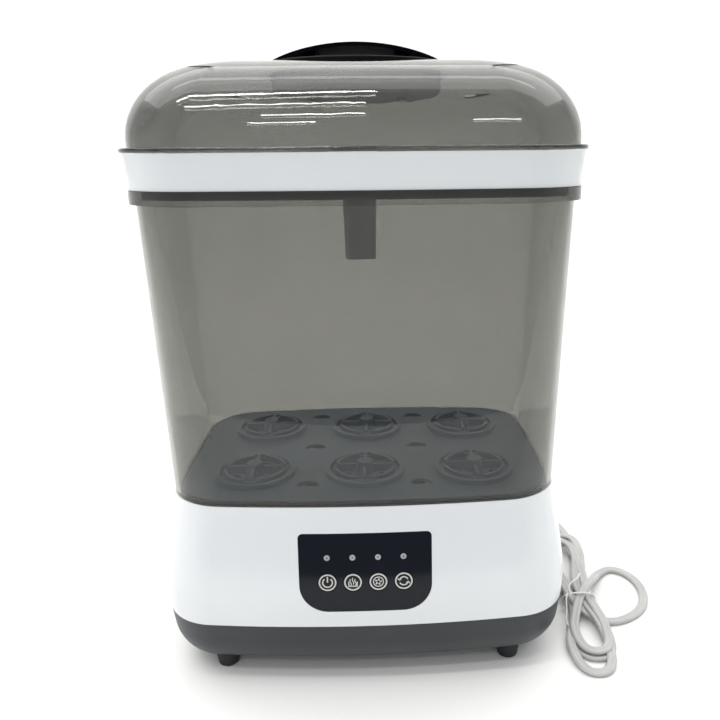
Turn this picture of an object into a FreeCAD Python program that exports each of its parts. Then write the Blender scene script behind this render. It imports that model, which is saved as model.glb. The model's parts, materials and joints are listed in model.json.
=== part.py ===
"""Electric baby bottle sterilizer and dryer: heated base, smoked tub, bottle tray, rack and domed lid.

Frame: millimetres, +Z up, the front faces -Y, and the origin is on the floor under the centre of the object.
"""

import FreeCAD, Part
import math
import os

V = FreeCAD.Vector
Z_UP = V(0, 0, 1)

# ---- driving dimensions -------------------------------------------------------------------------
FOOT_HEIGHT = 8.0        # floor to the underside of the base pan
SEAM_Z = 45.0            # seam between the dark pan and the white shell
BASE_TOP_Z = 125.0       # rim of the white shell, where the tub stands
DECK_Z = 112.0           # upper face of the deck inside that rim
RIM_Z = 304.5            # underside of the tub's thick lip
RIM_TOP_Z = 312.0        # top of that lip, where the collar stands
COLLAR_TOP_Z = 331.5     # top of the white collar, where the lid stands
FLANGE_TOP_Z = 334.5     # top of the lid's flange
SHOULDER_Z = 337.4       # where the lid's wall starts to turn inwards
SHOULDER_IN = 47.7       # half width and height of the ellipse that the shoulder follows
SHOULDER_UP = 42.4
SHOULDER_TURN = 74.8     # degrees of that ellipse before the crown takes over
CROWN_Z = 381.8          # flat middle of the lid
CROWN_IN = 64.0          # how far inside the dome's foot it starts
HANDLE_TOP_Z = 392.8     # crest of the grip

# Outlines are (half width, half depth, corner radius); the long sides bow outwards a little.
FRONT_BOW_R = 900.0
SIDE_BOW_R = 1000.0
PAN_FLOOR_OUTLINE = (130.2, 91.0, 35.0)
SEAM_OUTLINE = (134.3, 94.7, 37.0)
BASE_WIDE_OUTLINE = (134.9, 95.2, 38.0)
BASE_MID_OUTLINE = (131.6, 92.3, 38.5)
BASE_TOP_OUTLINE = (125.4, 88.0, 38.5)
TUB_FOOT_OUTLINE = (124.9, 87.5, 38.0)
TUB_HEAD_OUTLINE = (128.8, 91.0, 41.0)
RIM_OUTLINE = (132.3, 94.2, 43.5)
COLLAR_FOOT_OUTLINE = (131.8, 93.6, 43.5)
COLLAR_HEAD_OUTLINE = (133.8, 95.6, 45.0)
FLANGE_OUTLINE = (134.8, 96.6, 46.0)
DOME_OUTLINE = (131.1, 93.0, 46.0)
BASE_WIDE_Z = 60.0
BASE_MID_Z = 88.0

WALL = 2.5               # shells of the base, tub and lid
PAN_FILLET = 27.0        # round between the pan's floor and its side
SEAT_GAP = 0.2           # between parts that stand on each other and lift apart
FIT_GAP = 0.4            # between a spigot and the wall round it
PARTS = {}


def outline(size, z, inset=0.0):
    """A closed wire of eight tangent arcs at height z: four corners and four slightly bowed sides."""
    half_w, half_d, corner = size[0] - inset, size[1] - inset, size[2] - inset
    front_r, side_r = FRONT_BOW_R - inset, SIDE_BOW_R - inset
    front_c, side_c = half_d - front_r, half_w - side_r
    reach_f, reach_s = front_r - corner, side_r - corner
    gap = math.hypot(side_c, front_c)
    along = (reach_f ** 2 - reach_s ** 2 + gap ** 2) / (2 * gap)
    across = math.sqrt(reach_f ** 2 - along ** 2)
    ux, uy = side_c / gap, -front_c / gap
    corner_x = along * ux + across * uy
    corner_y = front_c + along * uy - across * ux
    if corner_x < 0 or corner_y < 0:
        corner_x = along * ux - across * uy
        corner_y = front_c + along * uy + across * ux
    tilt_f = math.atan2(corner_y - front_c, corner_x)
    tilt_s = math.atan2(corner_y, corner_x - side_c)
    top = V(front_r * math.cos(tilt_f), front_c + front_r * math.sin(tilt_f), z)
    side = V(side_c + side_r * math.cos(tilt_s), side_r * math.sin(tilt_s), z)
    middle = (tilt_f + tilt_s) / 2
    bend = V(corner_x + corner * math.cos(middle), corner_y + corner * math.sin(middle), z)

    def turned(point, sx, sy):
        return V(point.x * sx, point.y * sy, z)

    quadrants = [(1, 1), (-1, 1), (-1, -1), (1, -1)]
    edges = []
    for i, (sx, sy) in enumerate(quadrants):
        first, last = (side, top) if sx * sy > 0 else (top, side)
        edges.append(Part.Arc(turned(first, sx, sy), turned(bend, sx, sy), turned(last, sx, sy)).toShape())
        nx, ny = quadrants[(i + 1) % 4]
        crest = V(0, sy * half_d, z) if sx != nx else V(sx * half_w, 0, z)
        ahead = top if sx != nx else side
        edges.append(Part.Arc(turned(ahead, sx, sy), crest, turned(ahead, nx, ny)).toShape())
    return Part.Wire(edges)


def loft(sections, inset=0.0, ruled=True):
    """A solid through outlines given as (size, z)."""
    return Part.makeLoft([outline(size, z, inset) for size, z in sections], True, ruled)


def slab(size, low, high, inset=0.0):
    """A straight-sided solid of one outline between two heights."""
    return Part.Face(outline(size, low, inset)).extrude(V(0, 0, high - low))


def box(low, high):
    """A box between two corners."""
    return Part.makeBox(*[h - l for l, h in zip(low, high)], V(*low))


def rod(start, axis, radius, length):
    """A cylinder from a point along an axis."""
    return Part.makeCylinder(radius, length, V(*start), V(*axis))


def tube(start, axis, outer, inner, length):
    """A hollow cylinder."""
    return rod(start, axis, outer, length).cut(rod(start, axis, inner, length))


def fused(shapes):
    """All the shapes as one solid."""
    whole = shapes[0].fuse(shapes[1:]) if len(shapes) > 1 else shapes[0]
    return whole.removeSplitter()


def mirrored(points):
    """The four mirror images of (x, y) in both vertical planes."""
    return [(sx * x, sy * y) for x, y in points for sx in (-1, 1) for sy in (-1, 1)]


def keep(name, shape):
    """Stores a sub-part under its node name."""
    PARTS[name] = shape


# ---- base casing --------------------------------------------------------------------------------
SHELL_SECTIONS = [(SEAM_OUTLINE, SEAM_Z), (BASE_WIDE_OUTLINE, BASE_WIDE_Z), (BASE_MID_OUTLINE, BASE_MID_Z),
                  (BASE_TOP_OUTLINE, BASE_TOP_Z)]
RIM_WALL = 3.2                       # the shell's wall at its top, round the tub's spigot
DECK_LEDGE = 3.0                     # thickness and reach of the ledge that carries the deck
LEAN = math.atan2(BASE_MID_OUTLINE[1] - BASE_TOP_OUTLINE[1], BASE_TOP_Z - BASE_MID_Z)
PANEL_NORMAL = V(0, -math.cos(LEAN), math.sin(LEAN))
PLATE_HOLE_R = 47.0                  # opening in the deck for the heating dish
OUTLET_X = -92.0                     # middle of the warm air outlet in the deck
OUTLET_HALF = (11.0, 26.0)
SCREW_XY = [(104.0, 52.0)]           # pan screws, mirrored to four
FEET_XY = [(95.5, 67.0)]             # feet, mirrored to four
FOOT_R = 8.6
GLAND_X = 72.0
GLAND_Z = 30.0
GLAND_R = 6.0
PAN_VENT_XY = (-85.0, 8.0)           # under the fan


def panel_prism(grow, front, back):
    """A prism along Y with the control panel's outline: small upper corners and large lower ones."""
    half, low, high = PANEL_HALF_W + grow, PANEL_LOW_Z - grow, PANEL_HIGH_Z + grow
    small, large = PANEL_SMALL_R + grow, PANEL_LARGE_R + grow
    diag = 1 - math.sqrt(0.5)

    def point(x, z):
        return V(x, front, z)

    edges = []
    for sx in (-1, 1):
        edges += [
            Part.LineSegment(point(sx * half, low + large), point(sx * half, high - small)).toShape(),
            Part.Arc(point(sx * half, high - small), point(sx * (half - small * diag), high - small * diag),
                     point(sx * (half - small), high)).toShape(),
            Part.Arc(point(sx * half, low + large), point(sx * (half - large * diag), low + large * diag),
                     point(sx * (half - large), low)).toShape(),
        ]
    edges += [
        Part.LineSegment(point(small - half, high), point(half - small, high)).toShape(),
        Part.LineSegment(point(large - half, low), point(half - large, low)).toShape(),
    ]
    wire = Part.Wire(Part.__sortEdges__(edges))
    return Part.Face(wire).extrude(V(0, back - front, 0))


PANEL_HALF_W = 41.2
PANEL_LOW_Z = 56.5
PANEL_HIGH_Z = 108.0
PANEL_SMALL_R = 3.0
PANEL_LARGE_R = 18.0
PANEL_THICK = 2.2
PANEL_GAP = 0.15
DOOR_X = (-88.0, -28.0)              # filter door in the back of the shell
DOOR_Z = (60.0, 100.0)
DOOR_GAP = 0.5


def shell_core(inset):
    """The white shell's filled body, taken in by inset."""
    return loft(SHELL_SECTIONS, inset, ruled=False)


def shell_skin(outer_inset, thick):
    """A layer of the shell's body, for plates that follow its surface."""
    return shell_core(outer_inset).cut(shell_core(outer_inset + thick))


def door_prism(grow, front=60.0, back=110.0):
    """A rounded prism along Y through the back of the shell."""
    body = box((DOOR_X[0] - grow, front, DOOR_Z[0] - grow), (DOOR_X[1] + grow, back, DOOR_Z[1] + grow))
    edges = [e for e in body.Edges if abs(e.tangentAt(e.FirstParameter).y) > 0.9]
    return body.makeFillet(5.0 + grow, edges)


def base_shell():
    """White shell: wall with a thick rim, a ledge for the deck, and openings for panel and filter door."""
    under_deck = DECK_Z - WALL
    outer = shell_core(0.0)
    hollow = shell_core(WALL).common(box((-200, -200, 0), (200, 200, under_deck - DECK_LEDGE)))
    throat = slab(BASE_TOP_OUTLINE, under_deck - DECK_LEDGE - 1, under_deck, RIM_WALL + DECK_LEDGE)
    well = slab(BASE_TOP_OUTLINE, under_deck, BASE_TOP_Z + 1, RIM_WALL)
    shell = outer.cut(hollow).cut(fused([throat, well]))
    shell = shell.cut(panel_prism(PANEL_GAP, -120, -80))
    shell = shell.cut(door_prism(DOOR_GAP))
    ledge = shell_skin(WALL - 0.5, 2.0).common(panel_prism(3.0, -120, -70).cut(panel_prism(-2.5, -121, -69)))
    stop = shell_skin(WALL - 0.1, 2.0).common(door_prism(3.0).cut(door_prism(-2.5)))
    return fused([shell, ledge, stop])


def inner_deck():
    """White floor inside the rim, with openings for the dish and the warm air, and four screw bosses."""
    deck = slab(BASE_TOP_OUTLINE, DECK_Z - WALL, DECK_Z, RIM_WALL + 0.1)
    deck = deck.cut(rod((0, 0, DECK_Z - 10), Z_UP, PLATE_HOLE_R, 20))
    w, d = OUTLET_HALF
    deck = deck.cut(box((OUTLET_X - w, -d, DECK_Z - 10), (OUTLET_X + w, d, DECK_Z + 10)))
    bosses = [tube((x, y, SEAM_Z + 1), Z_UP, 4.5, 1.4, DECK_Z - SEAM_Z - 2) for x, y in mirrored(SCREW_XY)]
    return fused([deck] + bosses)


def pan_body(inset):
    """The dark pan's filled body, taken in by inset, with its round lower edge."""
    sections = [(PAN_FLOOR_OUTLINE, FOOT_HEIGHT + inset), (SEAM_OUTLINE, SEAM_Z)]
    body = loft(sections, inset)
    low = [e for e in body.Edges if abs(e.BoundBox.ZMax - FOOT_HEIGHT - inset) < 1e-3]
    return body.makeFillet(PAN_FILLET - inset, low)


def base_pan():
    """Dark pan: rounded tray with foot sockets, screw wells, an air intake grille and the cord's opening."""
    floor = FOOT_HEIGHT + 1
    wells = [rod((x, y, floor), Z_UP, 5.5, SEAM_Z - floor) for x, y in mirrored(SCREW_XY)]
    pan = pan_body(0.0).cut(pan_body(WALL))
    pan = fused([pan] + [w.common(pan_body(0.5)) for w in wells])
    for x, y in mirrored(SCREW_XY):
        pan = pan.cut(rod((x, y, 0), Z_UP, 3.6, SEAM_Z - 4)).cut(rod((x, y, 0), Z_UP, 1.9, SEAM_Z + 5))
    for x, y in mirrored(FEET_XY):
        pan = pan.cut(rod((x, y, 0), Z_UP, 2.5, FOOT_HEIGHT + WALL + 8))
    vx, vy = PAN_VENT_XY
    for row in range(-3, 4):
        pan = pan.cut(box((vx - 18, vy + row * 6 - 1.5, 0), (vx + 18, vy + row * 6 + 1.5, 12)))
    return pan.cut(rod((GLAND_X, 80, GLAND_Z), (0, 1, 0), GLAND_R, 40)).removeSplitter()


def rubber_feet():
    """Four feet: a tapered pad that follows the pan's underside, with a stem plugged into the pan."""
    feet = []
    for x, y in mirrored(FEET_XY):
        pad = Part.makeCone(FOOT_R - 1.8, FOOT_R, FOOT_HEIGHT + 6.0, V(x, y, 0))
        nose = [e for e in pad.Edges if abs(e.BoundBox.ZMax) < 1e-3]
        pad = pad.makeFillet(2.0, nose).cut(pan_body(0.0))
        feet.append(fused([pad, rod((x, y, FOOT_HEIGHT - 2), Z_UP, 2.5, WALL + 7)]))
    return Part.makeCompound(feet)


def pan_screws():
    """Four screws up through the pan's wells into the deck's bosses."""
    screws = []
    for x, y in mirrored(SCREW_XY):
        head = Part.makeCone(3.2, 2.6, 2.2, V(x, y, SEAM_Z - 6.2))
        cross = fused([box((x - 1.8, y - 0.35, SEAM_Z - 6.3), (x + 1.8, y + 0.35, SEAM_Z - 5.2)),
                       box((x - 0.35, y - 1.8, SEAM_Z - 6.3), (x + 0.35, y + 1.8, SEAM_Z - 5.2))])
        screws.append(fused([head, rod((x, y, SEAM_Z - 4.2), Z_UP, 1.38, 20)]).cut(cross))
    return Part.makeCompound(screws)


# ---- control panel, buttons and boards ----------------------------------------------------------
BUTTON_PITCH = 15.8
BUTTON_X = [(i - 1.5) * BUTTON_PITCH for i in range(4)]
BUTTON_NAMES = ["power_button", "steam_button", "dry_button", "auto_button"]
BUTTON_Z = 76.4
BUTTON_R = 5.9
BUTTON_GAP = 0.25
BUTTON_TRAVEL = 0.8
LENS_Z = 92.6
LENS_R = 1.8
LENS_GAP = 0.1
BOARD_DEPTH = 12.0                   # panel face to the control board's front
BOARD_THICK = 1.6


def face_point(x, z):
    """The point on the shell's front surface straight behind (x, z)."""
    share = (z - BASE_WIDE_Z) / (BASE_MID_Z - BASE_WIDE_Z) if z < BASE_MID_Z else 0.0
    if z < BASE_MID_Z:
        depth = BASE_WIDE_OUTLINE[1] + share * (BASE_MID_OUTLINE[1] - BASE_WIDE_OUTLINE[1])
    else:
        share = (z - BASE_MID_Z) / (BASE_TOP_Z - BASE_MID_Z)
        depth = BASE_MID_OUTLINE[1] + share * (BASE_TOP_OUTLINE[1] - BASE_MID_OUTLINE[1])
    return V(x, -(depth - x * x / (2 * FRONT_BOW_R)), z)


def behind(x, z, depth):
    """A point that deep behind the panel's face, along its normal."""
    return face_point(x, z) - PANEL_NORMAL * depth


def post(x, z, radius, front, back):
    """A cylinder along the panel's normal, between two depths behind its face."""
    return Part.makeCylinder(radius, back - front, behind(x, z, front), PANEL_NORMAL * -1)


def control_panel():
    """Glossy plate that follows the shell's front, with holes for the buttons and the light pipes."""
    plate = shell_skin(0.0, PANEL_THICK - 0.2).common(panel_prism(0.0, -120, -80))
    for x in BUTTON_X:
        plate = plate.cut(post(x, BUTTON_Z, BUTTON_R + BUTTON_GAP, -4, 8))
        plate = plate.cut(post(x, LENS_Z, LENS_R + LENS_GAP, -4, 8))
    return plate


def button(x):
    """One push button: domed cap, retaining flange behind the panel, and a stem towards its switch."""
    cap = post(x, BUTTON_Z, BUTTON_R, -0.2, 4.5)
    flange = post(x, BUTTON_Z, BUTTON_R + 1.0, 3.2, 4.5)
    stem = post(x, BUTTON_Z, 1.6, 4.5, 8.1)
    rim = [e for e in cap.Edges if e.BoundBox.YMax < behind(x, BUTTON_Z, 0.4).y + 1.2]
    return fused([cap.makeFillet(0.4, rim[:1]), flange, stem])


def indicator_lenses():
    """Four clear light pipes from the board to the panel's face."""
    return Part.makeCompound([post(x, LENS_Z, LENS_R, 0.0, BOARD_DEPTH - 1.2) for x in BUTTON_X])


def board_plate(depth, thick, half_w, low, high):
    """A flat board parallel to the panel."""
    middle = behind(0, (low + high) / 2, depth)
    plate = Part.makeBox(2 * half_w, thick, high - low, V(-half_w, 0, -(high - low) / 2))
    plate.rotate(V(0, 0, 0), V(1, 0, 0), -math.degrees(LEAN))
    plate.translate(middle)
    return plate


def control_board():
    """Circuit board behind the panel, carried on its screws."""
    board = board_plate(BOARD_DEPTH, BOARD_THICK, 34.0, 66.0, 104.0)
    for x in (-30.0, 30.0):
        board = board.cut(post(x, 85.0, 1.5, 2, 25))
    return board


def tact_switches():
    """Four switches on the board, one behind each button's stem."""
    switches = []
    for x in BUTTON_X:
        body = Part.makeBox(6, 3.0, 6, V(-3, -3.0, -3))
        body.rotate(V(0, 0, 0), V(1, 0, 0), -math.degrees(LEAN))
        body.translate(behind(x, BUTTON_Z, BOARD_DEPTH + 0.12))
        switches.append(body.cut(board_plate(BOARD_DEPTH, BOARD_THICK, 34.0, 60.0, 110.0)))
    return Part.makeCompound(switches)


def indicator_leds():
    """Four light-emitting diodes on the board, one behind each light pipe."""
    board = board_plate(BOARD_DEPTH, BOARD_THICK, 34.0, 60.0, 110.0)
    lamps = [post(x, LENS_Z, 1.5, BOARD_DEPTH - 1.1, BOARD_DEPTH + 1.0) for x in BUTTON_X]
    return Part.makeCompound([lamp.cut(board) for lamp in lamps])


def board_screws():
    """Two screws that hold the control board to the panel's back."""
    screws = []
    for x in (-30.0, 30.0):
        shaft = post(x, 85.0, 1.3, PANEL_THICK + 0.3, BOARD_DEPTH + BOARD_THICK + 0.4)
        head = post(x, 85.0, 2.6, BOARD_DEPTH + BOARD_THICK + 0.3, BOARD_DEPTH + BOARD_THICK + 2.2)
        screws.append(fused([shaft, head]))
    return Part.makeCompound(screws)


POWER_BOARD = ((16.0, -46.0, 20.0), (94.0, 14.0, 21.6))


def power_board():
    """Mains board on the pan's floor, with a relay, a capacitor and a transformer."""
    (x0, y0, z0), (x1, y1, z1) = POWER_BOARD
    relay = box((x0 + 8, y0 + 8, z1), (x0 + 27, y0 + 24, z1 + 15))
    transformer = box((x0 + 36, y0 + 30, z1), (x0 + 60, y0 + 52, z1 + 20))
    capacitor = rod((x0 + 68, y0 + 14, z1), Z_UP, 5, 16)
    fuse = rod((x0 + 10, y0 + 46, z1 + 2.5), V(1, 0, 0), 3, 18).cut(box((x0, y0, z0), (x1, y1, z1)))
    return fused([box(*POWER_BOARD), relay, transformer, capacitor, fuse])


def board_posts():
    """Four posts between the pan's floor and the mains board."""
    (x0, y0, z0), (x1, y1, _) = POWER_BOARD
    floor = FOOT_HEIGHT + WALL
    spots = [(x, y) for x in (x0 + 5, x1 - 5) for y in (y0 + 5, y1 - 5)]
    return Part.makeCompound([rod((x, y, floor), Z_UP, 3.0, z0 - floor) for x, y in spots])


# ---- steam heater -------------------------------------------------------------------------------
DISH_R = 52.0
DISH_DEPTH = 6.0
SEAL_THICK = 1.0
RING_R = 33.0
RING_TUBE_R = 3.4


def heating_plate():
    """Round stainless dish that holds the water: a flange over the deck and a shallow well."""
    flange_z = DECK_Z + SEAL_THICK
    well_z = flange_z - DISH_DEPTH
    flange = tube((0, 0, flange_z), Z_UP, DISH_R, 42.0, 1.2)
    slope = Part.makeCone(40.0, 43.2, DISH_DEPTH + 1.2, V(0, 0, well_z))
    hollow = Part.makeCone(38.8, 42.0, DISH_DEPTH + 0.01, V(0, 0, well_z + 1.2))
    return fused([flange, slope.cut(hollow)])


def plate_seal():
    """Silicone ring under the dish's flange, with a lip through the deck's hole."""
    ring = tube((0, 0, DECK_Z), Z_UP, DISH_R + 0.6, 44.4, SEAL_THICK)
    lip = tube((0, 0, DECK_Z - 4), Z_UP, PLATE_HOLE_R - 0.05, 44.4, 4.0)
    return fused([ring, lip])


def heating_element():
    """Tubular heater bent into a ring under the dish, with two ends turned down."""
    level = DECK_Z + SEAL_THICK - DISH_DEPTH - RING_TUBE_R - 0.05
    gap = 14.0
    ring = Part.makeTorus(RING_R, RING_TUBE_R, V(0, 0, level))
    ring = ring.cut(box((0, -gap / 2, level - 10), (RING_R + 20, gap / 2, level + 10)))
    x = math.sqrt(RING_R ** 2 - gap ** 2 / 4)
    ends = [rod((x, s * (gap / 2 + 2.0), level - 16), Z_UP, 2.6, 16.0) for s in (-1, 1)]
    return fused([ring] + ends)


def thermostat():
    """Snap thermostat pressed to the dish's middle, with two blade terminals."""
    level = DECK_Z + SEAL_THICK - DISH_DEPTH
    body = rod((0, 0, level - 9), Z_UP, 8.5, 9.0)
    blades = [box((s * 4 - 0.4, -3, level - 19), (s * 4 + 0.4, 3, level - 9)) for s in (-1, 1)]
    return fused([body] + blades)


def thermostat_bracket():
    """Spring strip that presses the thermostat up, riveted to the deck on both sides."""
    level = DECK_Z + SEAL_THICK - DISH_DEPTH - 9.0
    strip = box((-56, -5, DECK_Z - WALL - 1.2), (56, 5, DECK_Z - WALL))
    strip = strip.cut(box((-50, -6, 0), (50, 6, 200)))
    low = box((-50, -5, level - 1.2), (50, 5, level)).cut(box((-5.5, -4, 0), (5.5, 4, 200)))
    legs = [box((s * 50 - 0.6, -5, level - 1.2), (s * 50 + 0.6, 5, DECK_Z - WALL)) for s in (-1, 1)]
    return fused([strip, low] + legs)


# ---- drying fan ---------------------------------------------------------------------------------
FAN_XY = (-85.0, 8.0)
FAN_Z = (16.0, 46.0)
FAN_R = 33.0
IMPELLER_R = 27.0
FAN_WALL = 1.8


def fan_housing():
    """Volute round the impeller: open intake below, motor plate above, and an outlet up into the duct."""
    (x, y), (low, high) = FAN_XY, FAN_Z
    shell = rod((x, y, low), Z_UP, FAN_R, high - low)
    hollow = rod((x, y, low + FAN_WALL), Z_UP, FAN_R - FAN_WALL, high - low - 2 * FAN_WALL)
    intake = rod((x, y, low - 1), Z_UP, 17.0, 5)
    shaft_hole = rod((x, y, high - 5), Z_UP, 2.2, 10)
    shell = shell.cut(fused([hollow, intake, shaft_hole]))
    legs = [rod((x + 16 * sx, y + 22 * sy, FOOT_HEIGHT + WALL), Z_UP, 2.5, low - FOOT_HEIGHT - WALL)
            for sx in (-1, 1) for sy in (-1, 1)]
    outlet = box((x - 12, y - 30, high - 4), (x + 10, y - 19, high + 4))
    return fused([shell] + legs).cut(outlet)


def fan_impeller():
    """Squirrel-cage rotor: back plate, hub, blades and a lower ring."""
    (x, y), (low, high) = FAN_XY, FAN_Z
    base, top = low + 3.5, high - 5.0
    plate = rod((x, y, top - 1.5), Z_UP, IMPELLER_R, 1.5)
    hub = rod((x, y, top - 12), Z_UP, 6.0, 12.0)
    ring = tube((x, y, base), Z_UP, IMPELLER_R, IMPELLER_R - 2.5, 1.5)
    blades = []
    for i in range(24):
        blade = Part.makeBox(7.0, 0.9, top - base - 1.0, V(IMPELLER_R - 7.2, -0.45, base + 0.5))
        blade.rotate(V(IMPELLER_R - 3.5, 0, 0), Z_UP, 28)
        blade.rotate(V(0, 0, 0), Z_UP, i * 15)
        blade.translate(V(x, y, 0))
        blades.append(blade)
    return fused([plate, hub, ring] + blades).cut(rod((x, y, top - 13), Z_UP, 1.55, 14))


def fan_motor():
    """Motor on the housing's upper plate, with its shaft down into the rotor's hub."""
    (x, y), (_, high) = FAN_XY, FAN_Z
    return fused([rod((x, y, high), Z_UP, 14.0, 22.0), rod((x, y, high - 12), Z_UP, 1.5, 12.5)])


DUCT_X = (-106.0, -80.0)
DUCT_Y = (-24.0, -10.0)


def air_duct():
    """Sheet duct from the fan's outlet up to the deck's outlet, widening at its top."""
    low, high = FAN_Z[1], DECK_Z - WALL
    (x0, x1), (y0, y1) = DUCT_X, DUCT_Y
    neck = box((x0 + 6, y0, low), (x1, y1, 84.0))
    head = box((OUTLET_X - 13, -28, 84.0), (OUTLET_X + 13, 28, high))
    inner = box((x0 + 7.5, y0 + 1.5, low - 1), (x1 - 1.5, y1 - 1.5, 90.0))
    bell = box((OUTLET_X - 11.5, -26.5, 85.5), (OUTLET_X + 11.5, 26.5, high + 1))
    return fused([neck, head]).cut(fused([inner, bell]))


def air_heater():
    """Ceramic heater block with fins, across the duct's head."""
    frame = box((OUTLET_X - 11.3, -26.3, 90.0), (OUTLET_X + 11.3, 26.3, 100.0))
    for i in range(12):
        y = -24.2 + i * 4.2
        frame = frame.cut(box((OUTLET_X - 9.5, y, 80.0), (OUTLET_X - 1.2, y + 2.2, 110.0)))
        frame = frame.cut(box((OUTLET_X + 1.2, y, 80.0), (OUTLET_X + 9.5, y + 2.2, 110.0)))
    return frame


def outlet_grille():
    """Slotted cap over the deck's warm air outlet, clipped into it."""
    w, d = OUTLET_HALF
    cap = box((OUTLET_X - w - 2, -d - 2, DECK_Z), (OUTLET_X + w + 2, d + 2, DECK_Z + 2.0))
    plug = box((OUTLET_X - w + 0.2, -d + 0.2, DECK_Z - 3), (OUTLET_X + w - 0.2, d - 0.2, DECK_Z))
    bore = box((OUTLET_X - w + 1.6, -d + 1.6, 0), (OUTLET_X + w - 1.6, d - 1.6, DECK_Z))
    grille = fused([cap, plug.cut(bore)])
    for i in range(9):
        y = -d + 4.0 + i * 5.4
        grille = grille.cut(box((OUTLET_X - w + 2.5, y, 100), (OUTLET_X + w - 2.5, y + 2.4, 120)))
    return grille


def filter_door():
    """Louvred door that follows the shell's back, with a finger notch and two rails for the filter."""
    plate = shell_skin(0.0, WALL - 0.4).common(door_prism(0.0))
    for i in range(5):
        z = DOOR_Z[0] + 7.0 + i * 5.6
        plate = plate.cut(box((DOOR_X[0] + 9, 60, z), (DOOR_X[1] - 9, 120, z + 2.4)))
    low, high = DOOR_Z[0] + 4, DOOR_Z[1] - 4
    rails = [box((x, 75.0, low), (x + 1.6, 93.0, high)) for x in (DOOR_X[0] + 4, DOOR_X[1] - 5.6)]
    rails = [r.common(shell_core(1.0)) for r in rails]
    return fused([plate] + rails)


def air_filter():
    """Pleated filter block held between the door's rails."""
    low = (DOOR_X[0] + 5.7, 76.0, DOOR_Z[0] + 5)
    high = (DOOR_X[1] - 5.7, 84.0, DOOR_Z[1] - 5)
    block = box(low, high)
    pleats = 11
    pitch = (high[0] - low[0] - 2) / pleats
    for i in range(pleats):
        x = low[0] + 1 + i * pitch
        near, far = x + pitch * 0.3, x + pitch * 0.8
        groove = box((near, high[1] - 4, low[2] + 1.5), (far, high[1] + 1, high[2] - 1.5))
        block = block.cut(groove)
    return block


# ---- tub and bottle tray ------------------------------------------------------------------------
TUB_WALL = 2.6
SPIGOT_DROP = 8.0
TRAY_SEAT_Z = BASE_TOP_Z - 0.1        # the tray's ledge, inside the spigot
SEAT_WALL = 1.5                      # the spigot's wall round the tray


def tub():
    """Smoked open sleeve: tapered wall, a spigot into the base with the tray's ledge in it, a thick lip."""
    foot = BASE_TOP_Z + SEAT_GAP
    wall = [(TUB_FOOT_OUTLINE, foot), (TUB_HEAD_OUTLINE, RIM_TOP_Z)]
    skin = loft(wall)
    lip = slab(RIM_OUTLINE, RIM_Z, RIM_TOP_Z)
    spigot = slab(BASE_TOP_OUTLINE, foot - SPIGOT_DROP, foot + 2.0, RIM_WALL + FIT_GAP)
    body = fused([skin, lip, spigot])
    inner = loft([(TUB_FOOT_OUTLINE, foot + 2.0), (TUB_HEAD_OUTLINE, RIM_TOP_Z + 0.01)], TUB_WALL)
    seat = slab(BASE_TOP_OUTLINE, TRAY_SEAT_Z, foot + 3.0, RIM_WALL + FIT_GAP + SEAT_WALL)
    throat = slab(BASE_TOP_OUTLINE, foot - SPIGOT_DROP - 1, foot, RIM_WALL + FIT_GAP + SEAT_WALL + 2.6)
    return body.cut(fused([inner, seat, throat]))


TRAY_THICK = 2.4
TRAY_TOP_Z = TRAY_SEAT_Z + SEAT_GAP + TRAY_THICK
TRAY_GAP = 0.6
CELL_X = 73.0
CELL_Y = 39.5
ROSETTE_R = 26.5


def tray_outline(z, inset=0.0):
    """The tray's outline inside the tub's spigot."""
    return outline(BASE_TOP_OUTLINE, z, RIM_WALL + FIT_GAP + SEAT_WALL + TRAY_GAP + inset)


def bottle_tray():
    """Dark tray with six rosettes of ribs that hold bottles neck down, and drain slots between them."""
    low = TRAY_TOP_Z - TRAY_THICK
    plate = Part.Face(tray_outline(low)).extrude(V(0, 0, TRAY_THICK))
    cells = [(i * CELL_X, j * CELL_Y) for i in (-1, 0, 1) for j in (-1, 1)]
    cuts, ribs = [], []
    for x, y in cells:
        for turn in range(4):
            wedge = tube((x, y, low - 1), Z_UP, 17.5, 10.5, TRAY_THICK + 2)
            quarter = box((x + 2.6, y + 2.6, low - 2), (x + 30, y + 30, low + 10))
            quarter.rotate(V(x, y, 0), Z_UP, 90 * turn)
            cuts.append(wedge.common(quarter))
        ring = tube((x, y, TRAY_TOP_Z - 0.2), Z_UP, ROSETTE_R, ROSETTE_R - 3.2, 3.4)
        inner = tube((x, y, TRAY_TOP_Z - 0.2), Z_UP, 20.4, 18.4, 4.6)
        cross = [box((x - 18.9, y - 0.9, TRAY_TOP_Z - 0.2), (x + 18.9, y + 0.9, TRAY_TOP_Z + 5.4)),
                 box((x - 0.9, y - 18.9, TRAY_TOP_Z - 0.2), (x + 0.9, y + 18.9, TRAY_TOP_Z + 5.4))]
        gaps = [box((x - 4.0, y - 30, low + 5), (x + 4.0, y + 30, low + 9)),
                box((x - 30, y - 4.0, low + 5), (x + 30, y + 4.0, low + 9))]
        hub = Part.makeCone(6.5, 5.0, 8.0, V(x, y, TRAY_TOP_Z - 0.2))
        ribs += [ring, inner.cut(Part.makeCompound(gaps)), hub] + cross
    for x, y in [(i * CELL_X / 2, j * CELL_Y * 1.55) for i in (-1, 1) for j in (-1, 0, 1)]:
        moon = rod((x, y, low - 1), Z_UP, 7.5, TRAY_THICK + 2)
        cuts.append(moon.cut(box((x - 10, y - 12, 0), (x + 10, y, 400))))
    grips = [box((-14, s * 60 - 0.9, TRAY_TOP_Z - 0.2), (14, s * 60 + 0.9, TRAY_TOP_Z + 3)) for s in (-1, 1)]
    tray = fused([plate] + ribs + grips)
    return tray.cut(Part.makeCompound(cuts))


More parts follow.
